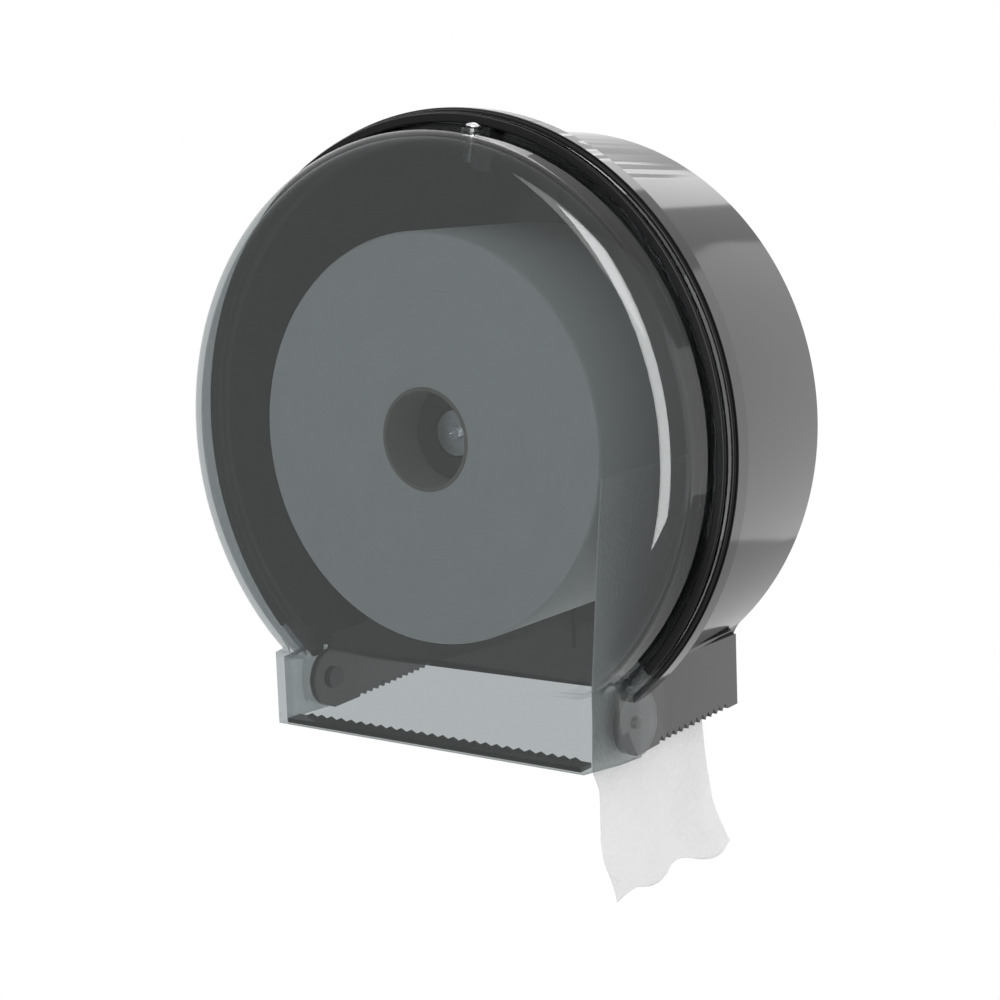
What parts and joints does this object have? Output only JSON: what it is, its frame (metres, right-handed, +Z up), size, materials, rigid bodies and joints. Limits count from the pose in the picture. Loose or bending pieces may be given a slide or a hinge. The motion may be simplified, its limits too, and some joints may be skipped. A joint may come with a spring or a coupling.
{
  "type": "toilet roll dispenser",
  "caption": "Wall-mounted round dispenser for a jumbo toilet roll, with a smoked clear cover hinged at its chin and toothed edges round the paper mouth.",
  "frame": {"origin": "the drum's axis where it meets the wall, which is the centre of the four wall screw holes", "axes": "+Z up, +Y into the wall along the drum's axis, +X to the right seen from the front; the cover faces -Y"},
  "size_m": [0.279, 0.122, 0.3373],
  "materials": {
    "black_housing": "high gloss moulded black plastic",
    "smoked_cover": "clear moulded plastic with a grey smoke tint",
    "rim_seal": "smooth black rubber",
    "black_trim": "moulded black plastic",
    "spindle_plastic": "fine matt moulded plastic",
    "holder_plastic": "fine matt moulded plastic",
    "screw_steel": "zinc plated steel",
    "lock_chrome": "polished chrome plate",
    "tissue_roll": "soft embossed tissue",
    "tissue_sheet": "soft embossed tissue",
    "core_card": "grey-brown wound card"
  },
  "bodies": {
    "housing": {"rear_housing": "black_housing", "housing_rim_seal": "rim_seal", "spindle_base": "spindle_plastic", "spindle_base_screws": "screw_steel", "axle_washer": "screw_steel", "axle_screw": "screw_steel", "keeper_plate": "screw_steel", "keeper_screws": "screw_steel", "paper_tail": "tissue_sheet"},
    "roll": {"core_holder": "holder_plastic", "roll_core": "core_card", "paper_roll": "tissue_roll"},
    "cover": {"front_cover": "smoked_cover", "cover_rim_seal": "rim_seal", "tear_strip": "black_trim", "hinge_pin_left": "screw_steel", "hinge_pin_right": "screw_steel"},
    "lock": {"lock_barrel": "lock_chrome", "lock_retaining_ring": "screw_steel", "lock_cam": "screw_steel", "lock_cam_screw": "screw_steel"}
  },
  "joints": [
    {"name": "roll_spin", "type": "hinge", "parent": "housing", "child": "roll", "pos_m": [0, -0.06, 0], "axis": [0, -1, 0], "continuous": true},
    {"name": "cover_hinge", "type": "hinge", "parent": "housing", "child": "cover", "pos_m": [0, -0.084, -0.1194], "axis": [1, 0, 0], "range_deg": [0, 95], "deforming": ["paper_tail"]},
    {"name": "lock_turn", "type": "hinge", "parent": "cover", "child": "lock", "pos_m": [0.02342, -0.102, 0.12279], "axis": [-0.1874, 0, -0.9823], "range_deg": [0, 90]}
  ]
}
